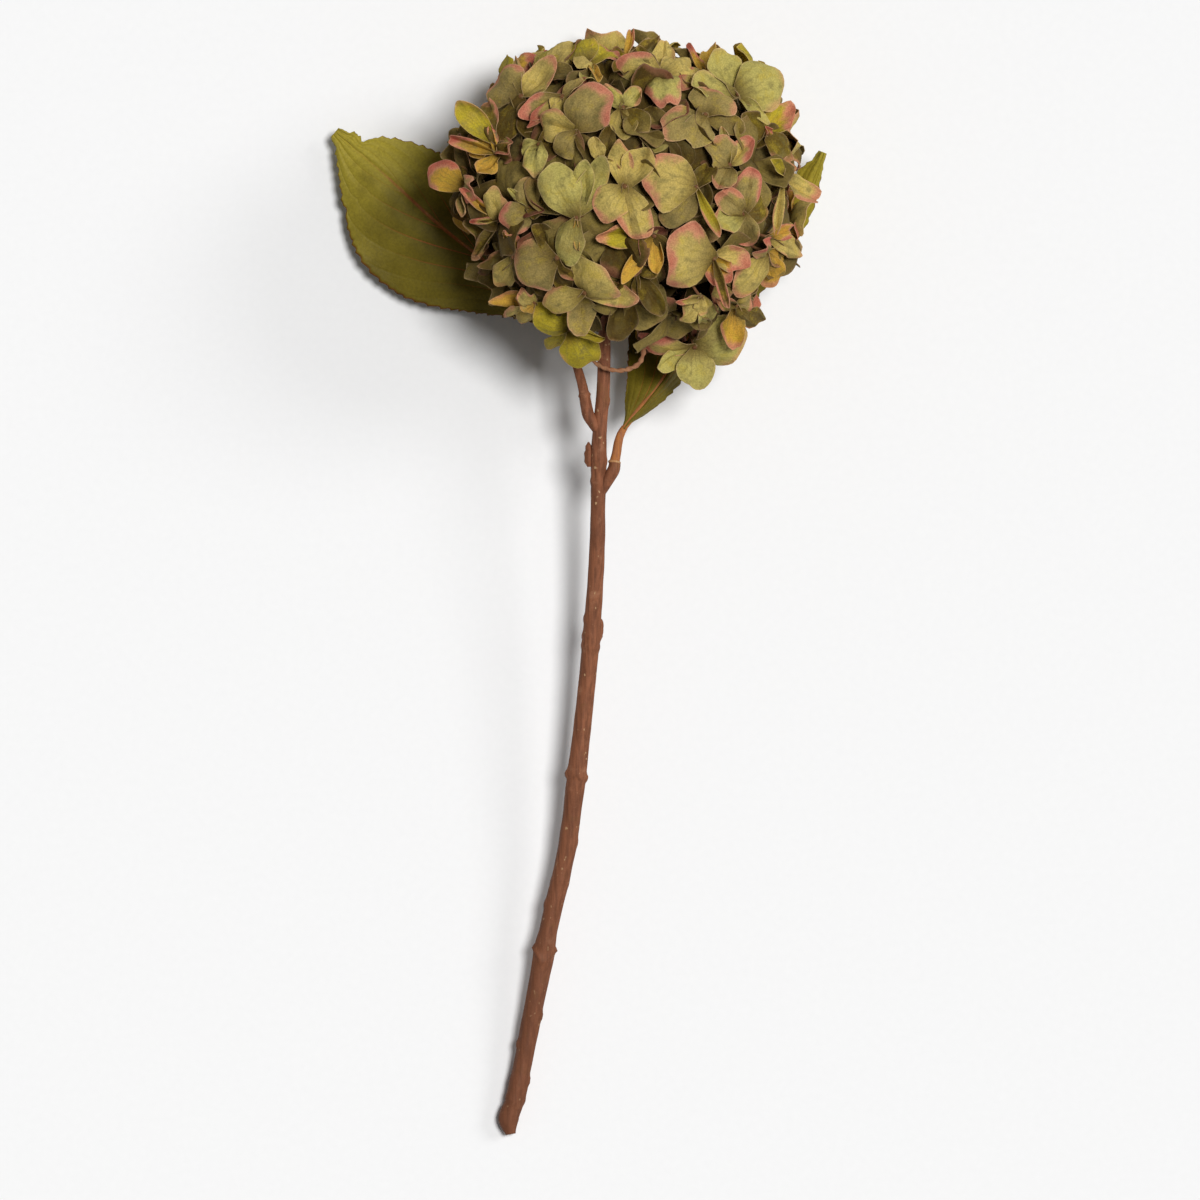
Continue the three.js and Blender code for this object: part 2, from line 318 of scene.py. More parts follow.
leafFinish = {
    "deep": (92, 80, 18),
    "fresh": (118, 104, 30),
    "tip": (164, 148, 50),
    "vein": (164, 88, 44),
    "paleVein": (112, 100, 34),
    "tooth": (112, 54, 24),
}
leafVeins = {"rows": 6.0, "lean": 0.65, "leanCurve": 0.95, "shift": 0.07}


def makeLeafMaterial():
    graph = Graph("leafFinish")
    tint = {key: linearColour(*value) for key, value in leafFinish.items()}
    mapUv = graph.add("ShaderNodeUVMap", uv_map="leafMap").outputs[0]
    split = graph.add("ShaderNodeSeparateXYZ")
    graph.feed(split, 0, mapUv)
    side = graph.times(graph.minus(split.outputs[0], 0.5), 2.0)
    across = graph.maths("ABSOLUTE", side)
    along = split.outputs[1]
    cloud = graph.noise(26.0, 3.0)
    patches = graph.noise(110.0, 4.0, 0.6)
    fine = graph.noise(900.0, 3.0, 0.6)

    colour = graph.blend(graph.band(cloud, 0.35, 0.68), tint["deep"], tint["fresh"])
    # lighter yellow-green towards the tip and on one side: partly the leaf's own colour and partly a painted
    # sheen
    tipTintAndSheen = graph.plus(along, graph.times(graph.minus(cloud, 0.5), 0.5))
    tipTintAndSheen = graph.minus(tipTintAndSheen, graph.times(side, 0.12))
    colour = graph.blend(graph.band(tipTintAndSheen, 0.5, 0.95), colour, tint["tip"])
    colour = graph.blend(graph.band(patches, 0.5, 0.75, 0.0, 0.35), colour, tint["deep"])

    # side veins leave the midrib and lean towards the tip
    lean = graph.times(graph.maths("POWER", across, leafVeins["leanCurve"]), leafVeins["lean"])
    fromFoot = graph.plus(graph.minus(along, lean), leafVeins["shift"])
    rows = graph.times(fromFoot, leafVeins["rows"])
    phase = graph.maths("ABSOLUTE", graph.minus(graph.maths("FRACT", rows), 0.5))
    sideVein = graph.band(phase, 0.045, 0.012)
    softVein = graph.band(phase, 0.12, 0.0)
    midrib = graph.band(across, 0.035, 0.012)
    softRib = graph.band(across, 0.1, 0.0)
    thinning = graph.times(graph.band(across, 0.7, 0.2), graph.band(along, 0.8, 0.45, 0.1, 1.0))
    ribShow = graph.times(midrib, graph.band(along, 0.85, 0.6, 0.15, 1.0))
    lines = graph.maths("MAXIMUM", graph.times(sideVein, thinning), ribShow)
    net = graph.add("ShaderNodeTexVoronoi", feature="DISTANCE_TO_EDGE")
    graph.feed(net, "Vector", graph.objectCoords)
    net.inputs["Scale"].default_value = 380.0
    netLines = graph.band(net.outputs["Distance"], 0.08, 0.0)
    colour = graph.blend(graph.times(netLines, 0.16), colour, tint["paleVein"])
    colour = graph.blend(graph.times(lines, 0.92), colour, tint["vein"])
    colour = graph.blend(graph.band(across, 0.96, 1.0, 0.0, 0.75), colour, tint["tooth"])
    grain = graph.blend(graph.band(fine, 0.3, 0.7), (0.86, 0.86, 0.86, 1), (1.08, 1.08, 1.08, 1))
    colour = graph.blend(1.0, colour, grain, "MULTIPLY")

    height = graph.plus(graph.times(softVein, -0.4), graph.times(softRib, -0.8))
    relief = graph.bump(height, 0.4, 0.0008)
    cells = graph.bump(graph.times(netLines, -1.0), 0.2, 0.0002, relief)
    grainBump = graph.bump(fine, 0.15, 0.0002, cells)
    roughness = graph.band(patches, 0.3, 0.7, 0.48, 0.62)
    return graph.finish(colour, roughness, grainBump, 0.16)


barkFinish = {
    "main": (146, 92, 64),
    "dark": (104, 64, 44),
    "pale": (176, 128, 98),
    "olive": (116, 82, 46),
    "orange": (176, 112, 58),
    "twine": (164, 118, 84),
    "lenticel": (200, 164, 122),
}


def makeBarkMaterial(name="barkFinish", mainTint="main", darkTint="dark"):
    graph = Graph(name)
    tint = {key: linearColour(*value) for key, value in barkFinish.items()}
    fibre = graph.noise(700.0, 4.0, 0.6, stretch=(1.0, 0.05, 1.0))
    bands = graph.noise(34.0, 3.0, 0.5, stretch=(0.3, 1.0, 0.3))
    blotch = graph.noise(140.0, 4.0, 0.6)
    flecks = graph.noise(520.0, 1.0, 0.4, stretch=(1.0, 0.7, 1.0))
    grain = graph.noise(2200.0, 2.0)
    colour = graph.blend(graph.band(fibre, 0.25, 0.7), tint[darkTint], tint[mainTint])
    colour = graph.blend(graph.band(bands, 0.54, 0.7, 0.0, 0.4), colour, tint["dark"])
    colour = graph.blend(graph.band(blotch, 0.56, 0.75, 0.0, 0.35), colour, tint["pale"])
    colour = graph.blend(graph.band(blotch, 0.42, 0.28, 0.0, 0.35), colour, tint["olive"])
    colour = graph.blend(graph.band(flecks, 0.71, 0.77, 0.0, 0.7), colour, tint["lenticel"])
    lengthways = graph.add("ShaderNodeSeparateXYZ")
    graph.feed(lengthways, 0, graph.objectCoords)
    colour = graph.blend(graph.band(lengthways.outputs[1], -0.02, -0.24, 0.0, 0.6), colour, tint["dark"])
    speckle = graph.blend(graph.band(grain, 0.3, 0.7), (0.9, 0.9, 0.9, 1), (1.07, 1.07, 1.07, 1))
    colour = graph.blend(1.0, colour, speckle, "MULTIPLY")
    strands = graph.bump(fibre, 0.2, 0.0004)
    pits = graph.bump(flecks, 0.25, 0.0004, strands)
    roughness = graph.band(blotch, 0.3, 0.7, 0.6, 0.76)
    return graph.finish(colour, roughness, pits, 0.16)


def makeCutMaterial():
    graph = Graph("cutWoodFinish")
    rings = graph.noise(1400.0, 3.0, 0.6)
    colour = graph.blend(graph.band(rings, 0.3, 0.7), linearColour(120, 92, 60), linearColour(172, 142, 100))
    return graph.finish(colour, 0.85, graph.bump(rings, 0.5, 0.0004), 0.2)


materials = {
    "petal": makePetalMaterial(),
    "leaf": makeLeafMaterial(),
    "bark": makeBarkMaterial(),
    "twig": makeBarkMaterial("twigFinish", "olive", "dark"),
    "stalk": makeBarkMaterial("stalkFinish", "orange", "main"),
    "fibre": makeBarkMaterial("fibreFinish", "twine", "main"),
    "ring": makeBarkMaterial("ringFinish", "lenticel", "orange"),
    "cut": makeCutMaterial(),
}
print("materials ready")


# where things are in the frame

knotRadius = 4.94 * mm
stemLow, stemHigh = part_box("main_stem")
heart = stemHigh - Vector((knotRadius, knotRadius, knotRadius))


def fromHeart(x, y, z=0.0):
    return heart + Vector((x, y, z)) * mm


headSize = Vector((80, 71, 72))


def headHeight(x, y):
    # height of the full head over the heart, in millimetres, above that place
    plan = (x / headSize.x) ** 2 + (y / headSize.y) ** 2
    return headSize.z * math.sqrt(max(1 - plan, 0.0))


def nodePoints(name):
    return [vertex.co.copy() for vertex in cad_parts[name].data.vertices]


def framedReach(names, parts):
    # how far these nodes reach from the heart on the plan, in even parts round from +X
    reach = [0.0] * parts
    for name in names:
        for point in nodePoints(name):
            flat = (point - heart).xy / mm
            part = math.floor(math.atan2(flat.y, flat.x) / math.tau * parts) % parts
            reach[part] = max(reach[part], flat.length)
    return reach


upperCount = 27
framedCount = 46
twigReach = 20      # millimetres from the heart, where added stalks begin
headOutline = framedReach(["floret_%02d" % (i + 1) for i in range(upperCount)], 24)


def outlineAt(x, y):
    parts = len(headOutline)
    place = math.atan2(y, x) / math.tau * parts - 0.5
    index = math.floor(place)
    return mix(headOutline[index % parts], headOutline[(index + 1) % parts], place - index)


# tubes: a cylinder with many rings, laid along a route

def tube(name, route, radii, sides, rings, shape=None):
    deselectAll()
    bpy.ops.mesh.primitive_cylinder_add(vertices=sides, radius=1.0, depth=1.0, end_fill_type="NGON")
    piece = bpy.context.object
    piece.name = name
    bpy.ops.object.mode_set(mode="EDIT")
    mesh = bmesh.from_edit_mesh(piece.data)
    bpy.ops.mesh.select_mode(type="EDGE")
    cuts = rings
    while cuts > 1:
        step = min(cuts, 20)
        for edge in mesh.edges:
            edge.select = abs(edge.verts[0].co.z - edge.verts[1].co.z) > 1e-6
        bmesh.update_edit_mesh(piece.data)
        bpy.ops.mesh.subdivide(number_cuts=step - 1)
        mesh = bmesh.from_edit_mesh(piece.data)
        cuts = math.ceil(cuts / step)
    bpy.ops.mesh.select_mode(type="FACE")
    for face in mesh.faces:
        face.select = len(face.verts) > 4
    bmesh.update_edit_mesh(piece.data)
    bpy.ops.mesh.inset(thickness=0.18)
    bpy.ops.mesh.inset(thickness=0.5)
    bpy.ops.object.mode_set(mode="OBJECT")
    side = None
    for vertex in sorted(piece.data.vertices, key=lambda one: -one.co.z):
        share = 0.5 - vertex.co.z
        centre = smoothPolyline(route, share)
        tangent = wayAlong(route, share, 0.002).normalized()
        if side is None:
            side = tangent.cross(skyward)
            if side.length < 0.05:
                side = tangent.cross(Vector((0, 1, 0)))
        side = (side - tangent * side.dot(tangent)).normalized()
        top = side.cross(tangent)
        angle = math.atan2(vertex.co.y, vertex.co.x)
        spread = math.hypot(vertex.co.x, vertex.co.y)
        radius = numberAt(radii, share) * spread
        if shape:
            radius *= shape(share, angle, spread)
        vertex.co = centre + (side * math.cos(angle) + top * math.sin(angle)) * radius
    for polygon in piece.data.polygons:
        polygon.use_smooth = len(polygon.vertices) == 4
    return piece


# the stem

stemLook = {
    "sides": 36,
    "rings": 400,
    "slices": 60,
    "joints": [0.283, 0.306, 0.47, 0.482, 0.617, 0.73, 0.963],
    "jointLips": [0.35, 0.5, 0.35, 0.3, 0.4, 0.12, 0.35],
    "sheath": 0.8085,
    "scars": [(0.222, 178, 0.9), (0.452, 20, 0.8), (0.468, 185, 1.0), (0.478, 120, 0.8),
              (0.387, 100, 0.5), (0.617, 5, 1.0), (0.62, 178, 0.9), (0.688, 160, 0.5),
              (0.756, 8, 0.7), (0.872, 175, 0.8), (0.905, 10, 0.9), (0.94, 172, 0.9)],
    "ridgeAngle": 165,
}


def stemSlices():
    # centre and radius of the stem at even steps along it
    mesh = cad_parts["main_stem"].data
    triangles = [[mesh.vertices[i].co for i in polygon.vertices] for polygon in mesh.polygons]
    low = stemLow.y + 0.7 * mm
    high = stemHigh.y - 0.6 * mm
    slices = []
    for i in range(stemLook["slices"]):
        level = mix(high, low, i / (stemLook["slices"] - 1))
        total = Vector((0, 0, 0))
        weight = 0.0
        spans = []
        for corners in triangles:
            cut = []
            for a, b in ((0, 1), (1, 2), (2, 0)):
                start, end = corners[a], corners[b]
                if (start.y - level) * (end.y - level) < 0:
                    cut.append(start.lerp(end, (level - start.y) / (end.y - start.y)))
            if len(cut) == 2:
                length = (cut[0] - cut[1]).length
                total += (cut[0] + cut[1]) * 0.5 * length
                weight += length
                spans.append(((cut[0] + cut[1]) * 0.5, length))
        centre = total / weight
        radius = sum((middle - centre).length * length for middle, length in spans) / weight
        slices.append((centre, radius))
    return slices


def stemShape(share, angle, spread):
    turned = math.degrees(angle) % 360
    swell = 0.0
    for place, lip in zip(stemLook["joints"], stemLook["jointLips"]):
        bend = 0.0022 * math.sin(angle * 2 + place * 40)
        swell += lip * hump(share - place + bend, 0.0035)
        swell -= lip * 0.35 * hump(share - place + bend - 0.006, 0.002)
    # below the sheath's two pointed ears the bark stands out a little
    earLine = stemLook["sheath"] - 0.007 * abs(math.cos(angle)) ** 3 + 0.006 * hump(turned - 90, 24)
    swell += hump(share - earLine, 0.0025)
    swell += 0.35 * smooth(share, earLine - 0.002, earLine + 0.002) * smooth(share, earLine + 0.16, earLine)
    for place, side, size in stemLook["scars"]:
        around = (turned - side + 180) % 360 - 180
        away = math.hypot(around / 26, (share - place) / 0.0042)
        swell += size * (1.15 * hump(away, 1) - 0.5 * hump(away, 0.45))
    around = (turned - stemLook["ridgeAngle"] + 180) % 360 - 180
    swell += 0.28 * hump(around, 11)
    swell += 0.05 * math.sin(angle * 7 + 30 * share) + 0.04 * math.sin(angle * 11 - 17 * share)
    swell += 0.22 * noise.noise(Vector((math.cos(angle), math.sin(angle), share * 40)))
    return 1 + swell / 4


stemRun = stemSlices()
stemRoute = [centre for centre, _ in stemRun]


def stemCentreAt(level):
    return min(stemRoute, key=lambda centre: abs(centre.y - level))


def makeStem():
    radii = [radius * 0.98 for _, radius in stemRun]
    stem = tube("stem_bark", stemRoute, radii, stemLook["sides"], stemLook["rings"], stemShape)
    stem.data.materials.append(materials["bark"])
    stem.data.materials.append(materials["cut"])
    end = min(stem.data.vertices, key=lambda vertex: vertex.co.y).co.y
    for polygon in stem.data.polygons:
        if polygon.center.y < end + 2 * mm and polygon.normal.y < -0.8:
            polygon.material_index = 1
    for vertex in stem.data.vertices:
        vertex.co.z = max(vertex.co.z, 0.2 * mm)
    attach(stem, "root")
    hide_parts("main_stem")
    return stem


makeStem()
print("stem ready")


# leaves

leftLeafLook = {
    "node": "left_leaf",
    "midrib": [(-17.7, -97, -15), (-20.5, -84, -18), (-25, -70.5, -25), (-39.6, -49.5, -38),
               (-59, -31, -45), (-84, -11.3, -47), (-110.3, 12.8, -50), (-132.5, 32, -55)],
    "stalkShare": 0.24,
    "stalkRadii": [2.2, 2.5, 2.3, 2.1, 1.9, 1.7, 1.5],
    "stalkRing": 0.34,
    "stalkFinish": "bark",
    "ringFinish": "bark",
    "tears": [(-1, 0.91, 4.0, 0.02), (1, 0.8, 1.5, 0.012)],   # side, along, depth, spread
    "teeth": 31,
    "toothDepth": 1.5,
    "thickness": 0.5,
    "seed": 3.0,
}
rightLeafLook = {
    "node": "right_leaf",
    "midrib": [(-6.8, -122, -19), (-5.2, -114, -20), (-1.8, -102.6, -21.5), (14.2, -82.9, -28),
               (28.5, -60, -39), (45.9, -40.5, -48), (64.5, -19, -49), (79, 0, -43), (88.5, 22, -34)],
    "stalkShare": 0.11,
    "stalkRadii": [2.2, 2.6, 2.3, 2.1, 2.0, 1.8, 1.5],
    "stalkRing": 0.33,
    "stalkFinish": "stalk",
    "ringFinish": "ring",
    "tears": [(1, 0.9, 2.0, 0.02)],
    "teeth": 28,
    "toothDepth": 1.3,
    "thickness": 0.5,
    "seed": 8.0,
}
overhead = 0.4      # metres up, clear of the whole head


def evenRoute(points, count=160):
    # the same soft curve as evenly spaced points
    fine = [smoothPolyline(points, i / 1200) for i in range(1201)]
    lengths = [0.0]
    for before, after in zip(fine, fine[1:]):
        lengths.append(lengths[-1] + (after - before).length)
    route = []
    index = 0
    for i in range(count):
        target = lengths[-1] * i / (count - 1)
        while index < len(lengths) - 2 and lengths[index + 1] < target:
            index += 1
        span = max(lengths[index + 1] - lengths[index], 1e-9)
        route.append(fine[index].lerp(fine[index + 1], (target - lengths[index]) / span))
    return route


def leafSurface(look):
    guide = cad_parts[look["node"]]
    return BVHTree.FromPolygons(
        [vertex.co for vertex in guide.data.vertices],
        [list(polygon.vertices) for polygon in guide.data.polygons])


def edgeReach(surface, centre, outward, step=0.5 * mm):
    # how far the framed leaf reaches from its midrib, felt for from above
    reach = 0.0
    while True:
        place = centre + outward * reach
        if surface.ray_cast(Vector((place.x, place.y, overhead)), -skyward)[0] is None:
            return reach
        reach += step


def evened(values, width=2):
    # each value becomes the mean of its neighbourhood
    near = [values[max(i - width, 0):i + width + 1] for i in range(len(values))]
    return [sum(few) / len(few) for few in near]


def bladeStations(look, surface, count=60):
    # middle, sideways direction and reach to both sides, from the blade's foot to its tip
    midrib = evenRoute([Vector(point) for point in look["midrib"]])
    centres = []
    sideways = []
    reaches = {1: [], -1: []}
    for i in range(count + 1):
        share = mix(look["stalkShare"], 1.0, i / count)
        here = smoothPolyline(midrib, share)
        ahead = wayAlong(midrib, share, 0.01)
        aside = Vector((-ahead.y, ahead.x, 0)).normalized()
        centre = fromHeart(here.x, here.y)
        centres.append(Vector((centre.x, centre.y, 0)))
        sideways.append(aside)
        for side in (1, -1):
            reaches[side].append(edgeReach(surface, centre, aside * side))
    return centres, sideways, {side: evened(reach) for side, reach in reaches.items()}


def leafBlade(look):
    # the blade, and the line of its middle on the plan
    deselectAll()
    bpy.ops.mesh.primitive_grid_add(x_subdivisions=150, y_subdivisions=36, size=2.0)
    blade = bpy.context.object
    surface = leafSurface(look)
    centres, sideways, reaches = bladeStations(look, surface)
    flat = {}
    for vertex in blade.data.vertices:
        along = (vertex.co.x + 1) / 2
        across = vertex.co.y
        side = 1 if across > 0 else -1
        outward = smoothPolyline(sideways, along).normalized() * side
        reach = numberAt(reaches[side], along) * mix(0.25, 1.0, smooth(along, 0.0, 0.07))
        for tornSide, tornAt, deep, spread in look["tears"]:
            if tornSide == side:
                reach -= min(deep * mm * hump(along - tornAt, spread), reach * 0.8)
        # teeth lean towards the tip, and grow only at the margin
        saw = (along * look["teeth"] + 0.3 * math.sin(along * 31 + look["seed"])) % 1.0
        tooth = saw ** 1.4 if saw < 0.8 else (1 - saw) / 0.2
        depth = (tooth - 0.5) * look["toothDepth"] * smooth(abs(across), 0.86, 1.0)
        depth *= smooth(along, 0.08, 0.2) * smooth(along, 1.0, 0.95)
        world = smoothPolyline(centres, along) + outward * (reach * abs(across) + depth * mm)
        flat[vertex.index] = (along, across)
        hit = surface.ray_cast(Vector((world.x, world.y, overhead)), -skyward)[0]
        if hit is None:
            hit = surface.find_nearest(Vector((world.x, world.y, heart.z - 45 * mm)))[0]
        vertex.co = Vector((world.x, world.y, hit.z))
    # smooth out the facets of the guide, then add the leaf's own relief
    relief = bmesh.new()
    relief.from_mesh(blade.data)
    for _ in range(30):
        bmesh.ops.smooth_vert(relief, verts=relief.verts, factor=0.5, use_axis_z=True,
                              use_axis_x=False, use_axis_y=False)
    relief.to_mesh(blade.data)
    relief.free()
    for vertex in blade.data.vertices:
        along, across = flat[vertex.index]
        outward = abs(across)
        lean = leafVeins["lean"] * outward ** leafVeins["leanCurve"]
        row = (along - lean + leafVeins["shift"]) * leafVeins["rows"] % 1.0
        quilt = math.sin(math.pi * ((row - 0.5) % 1.0)) ** 0.7
        swell = 0.5 * quilt * smooth(outward, 0.02, 0.3) * smooth(outward, 1.0, 0.7)
        swell -= 0.6 * hump(outward, 0.035)
        swell += 2.2 * noise.noise(Vector((along * 3.2, across * 1.6, look["seed"])))
        swell += 0.8 * outward ** 3 * math.sin(along * 24 + look["seed"] + 2 * across)
        vertex.co.z = max(vertex.co.z + swell * mm, 0.5 * mm)
    layer = blade.data.uv_layers[0] if blade.data.uv_layers else blade.data.uv_layers.new()
    layer.name = "leafMap"
    for loop in blade.data.loops:
        along, across = flat[loop.vertex_index]
        layer.data[loop.index].uv = (across / 2 + 0.5, along)
    if sum(polygon.normal.z for polygon in blade.data.polygons) < 0:
        blade.data.flip_normals()
    thicken = blade.modifiers.new("thickness", "SOLIDIFY")
    thicken.thickness = look["thickness"] * mm
    thicken.offset = 0
    applyModifiers(blade)
    shadeSmooth(blade)
    blade.data.materials.append(materials["leaf"])
    return blade, centres


def makeStalk(look):
    # from inside the stem along the first part of the midrib, with a ring scar near its foot
    midrib = evenRoute([Vector(point) for point in look["midrib"]])
    start = fromHeart(*midrib[0])
    root = stemCentreAt(start.y - 9 * mm)
    shares = [look["stalkShare"] * i / 5 * 1.04 for i in range(6)]
    route = [root] + [fromHeart(*smoothPolyline(midrib, share)) for share in shares]
    radii = look["stalkRadii"]
    ring = look["stalkRing"]
    stalk = tube("stalk", route, [radius * mm for radius in radii], 20, 60,
                 lambda share, angle, spread: 1 + 0.16 * hump(share - ring, 0.018)
                 - 0.1 * hump(angle - 1.57, 0.5))
    stalk.data.materials.append(materials[look["stalkFinish"]])
    stub = tube("stub", [smoothPolyline(route, ring * i / 4) for i in range(5)],
                [numberAt(radii, ring * i / 4) * 1.1 * mm for i in range(5)], 20, 24)
    stub.data.materials.append(materials["bark"])
    centre = smoothPolyline(route, ring)
    tangent = wayAlong(route, ring, 0.02).normalized()
    deselectAll()
    bpy.ops.mesh.primitive_torus_add(major_radius=numberAt(radii, ring) * 0.95 * mm, minor_radius=0.75 * mm,
                                     major_segments=28, minor_segments=8)
    scar = bpy.context.object
    turn = skyward.rotation_difference(tangent).to_matrix().to_4x4()
    scar.data.transform(Matrix.Translation(centre) @ turn)
    scar.data.materials.append(materials[look["ringFinish"]])
    shadeSmooth(scar)
    return [stalk, stub, scar]


def makeLeaf(look):
    blade, centres = leafBlade(look)
    ribRoute = []
    for i in range(14):
        world = smoothPolyline(centres, i / 13 * 0.9)
        nearest = min(blade.data.vertices, key=lambda vertex: (vertex.co.xy - world.xy).length)
        ribRoute.append(Vector((world.x, world.y, max(nearest.co.z - 0.4 * mm, 0.8 * mm))))
    rib = tube("rib", ribRoute, [mix(1.4, 0.3, i / 13) * mm for i in range(14)], 10, 60)
    rib.data.materials.append(materials["stalk"])
    leaf = joinPieces([blade, rib] + makeStalk(look), look["node"] + "_grown")
    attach(leaf, "root")
    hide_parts(look["node"])
    return leaf


makeLeaf(leftLeafLook)
makeLeaf(rightLeafLook)
print("leaves ready")


# petals

toneOf = {"sage": 0.0, "khaki": 0.2, "dusk": 0.4, "olive": 0.6, "lime": 0.8, "gold": 1.0}
# fold in degrees, then how strongly each form bows, curls, rolls, ruffles and crumples
sepalForms = {
    "flat": (8, 0.04, -0.05, -0.1, 1.1, 2.1),
    "cup": (20, -0.06, 0.16, 0.1, 1.1, 2.1),
    "dome": (-9, 0.09, -0.13, -0.18, 1.1, 2.1),
    "fold": (54, 0.03, 0.1, -0.2, 0.9, 1.4),
    "curl": (28, -0.02, 0.32, 0.4, 1.0, 1.8),
    "crumple": (24, 0.06, -0.16, -0.4, 1.6, 3.4),
}
sepalLook = {
    "cells": 8,
    "clawShare": 0.42,
    "footOverlap": 1.3,
    "widen": 1.08,
    "twist": 15,
    "thickness": 0.3,
    "longest": 24.0,
    "facing": 0.5,
}


def makeSepalBlank():
    deselectAll()
    bpy.ops.mesh.primitive_grid_add(
        x_subdivisions=sepalLook["cells"], y_subdivisions=sepalLook["cells"], size=2.0)
    blank = bpy.context.object
    blank.name = "sepalBlank"
    if not blank.data.uv_layers:
        blank.data.uv_layers.new()
    blank.data.uv_layers[0].name = "petalMap"
    blank.data.color_attributes.new("petalLook", "FLOAT_COLOR", "POINT")
    blank.data.materials.append(materials["petal"])
    return blank


sepalBlank = makeSepalBlank()
gridPlaces = [(vertex.co.x, vertex.co.y) for vertex in sepalBlank.data.vertices]


def growSepal(centre, tip, width, tone, blush, form, shade, facing, seed):
    # one petal as its own object, from a floret's centre to the place of its tip
    folded, bow, curl, roll, ruffle, crumple = sepalForms[form]
    axis = (tip - centre).normalized()
    base = centre - axis * sepalLook["footOverlap"] * mm
    length = (tip - base).length
    across = axis.cross(facing).normalized()
    across.rotate(Matrix.Rotation(math.radians(sepalLook["twist"] * math.sin(seed * 7.7)), 3, axis))
    face = across.cross(axis)
    half = width * sepalLook["widen"] * mm / 2
    fold = math.radians(folded)
    wander = Vector((seed * 3.1, seed * 1.7, seed))
    mesh = sepalBlank.data.copy()
    places = []
    looks = []
    fans = []
    for s, t in gridPlaces:
        x = s * math.sqrt(1 - t * t / 2)
        y = t * math.sqrt(1 - s * s / 2)
        rim = max(abs(s), abs(t))
        around = math.atan2(y, x)
        uneven = 1 + rim * (0.05 * math.sin(3 * around + seed) + 0.035 * math.sin(5 * around + seed * 2.3))
        along = (y * uneven + 1) / 2
        claw = sepalLook["clawShare"] + (1 - sepalLook["clawShare"]) * smooth(along, -0.05, 0.5)
        aside = x * claw * uneven
        fan = math.atan2(aside, along + 0.25)
        sideways = half * aside * math.cos(fold)
        height = half * math.sin(fold) * (math.sqrt(aside * aside + 0.02) - 0.14)
        height += half * roll * aside ** 4
        height += bow * 4 * along * (1 - along) * length
        height += curl * length * smooth(along, 0.55, 1.1)
        height += ruffle * mm * rim ** 3 * math.sin(4 * around + seed * 5)
        height += 0.2 * mm * math.sin(fan * 9 + seed) * smooth(along, 0.2, 0.8)
        crease = noise.noise(Vector((aside * 1.3, along * 1.5, 0)) + wander)
        ripple = noise.noise(Vector((aside * 2.9, along * 3.2, 4)) + wander)
        pleat = 0.5 - abs(noise.noise(Vector((aside * 1.1, along * 1.0, 9)) + wander)) * 2.2
        height += crumple * mm * (crease + 0.35 * ripple + 0.7 * pleat) * smooth(along, 0.05, 0.35)
        height -= 0.5 * mm * hump(aside, 0.16) * smooth(along, 0.0, 0.2) * smooth(along, 1.0, 0.6)
        place = base + axis * (along * length) + across * sideways + face * height
        place.z = max(place.z, 0.4 * mm)
        places.extend(place)
        looks.extend((rim, toneOf[tone], blush, shade))
        fans.append((0.5 + fan / math.pi, along))
    mesh.vertices.foreach_set("co", places)
    mesh.color_attributes["petalLook"].data.foreach_set("color", looks)
    layer = mesh.uv_layers["petalMap"]
    for loop in mesh.loops:
        layer.data[loop.index].uv = fans[loop.vertex_index]
    petal = bpy.data.objects.new("petal", mesh)
    bpy.context.collection.objects.link(petal)
    return petal


def facingAt(place, lean):
    # petals face partly outwards and partly up out of the head
    rel = (place - heart) / mm
    outward = Vector((rel.x / headSize.x ** 2, rel.y / headSize.y ** 2, rel.z / headSize.z ** 2)).normalized()
    return (outward * (1 - lean) + skyward * lean).normalized() if rel.z > 0 else outward


def planTip(base, x, y, lift):
    # the tip over a place on the plan, no further from the base than a petal is long
    place = fromHeart(x, y)
    flat = (place.xy - base.xy).length
    reach = math.sqrt(max((sepalLook["longest"] * mm) ** 2 - flat * flat, 0.0))
    rise = heart.z + (headHeight(x, y) + lift) * mm - base.z
    return Vector((place.x, place.y, base.z + min(max(rise, -reach), reach)))


def makeThread(start, end, radius):
    middle = (start + end) / 2 + Vector((0.6, -0.4, 0.8)) * mm
    piece = tube("thread", [start, middle, end], [radius * 1.2, radius, radius * 0.9], 6, 5)
    piece.data.materials.append(materials["twig"])
    return piece


def makeBud(place, outward):
    deselectAll()
    bpy.ops.mesh.primitive_uv_sphere_add(segments=8, ring_count=6, radius=1.0)
    bud = bpy.context.object
    turn = skyward.rotation_difference(outward).to_matrix().to_4x4()
    bud.data.transform(Matrix.Translation(place) @ turn @ Matrix.Diagonal((1.3 * mm, 1.3 * mm, 1.0 * mm, 1)))
    bud.data.materials.append(materials["twig"])
    shadeSmooth(bud)
    return bud


def finishFloret(name, petals, centre, footPlace, replaced=None):
    sheet = joinPieces(petals, name)
    thicken = sheet.modifiers.new("thickness", "SOLIDIFY")
    thicken.thickness = sepalLook["thickness"] * mm
    thicken.offset = 0
    applyModifiers(sheet)
    bpy.ops.object.shade_smooth_by_angle(angle=math.radians(50))
    parts = [sheet]
    if footPlace is not None:
        outward = (centre - footPlace).normalized()
        parts.append(makeThread(footPlace, centre - outward * 0.6 * mm, 0.75 * mm))
        parts.append(makeBud(centre + outward * 0.4 * mm, outward))
    floret = joinPieces(parts, name)
    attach(floret, "root")
    if replaced:
        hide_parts(replaced)
    return floret


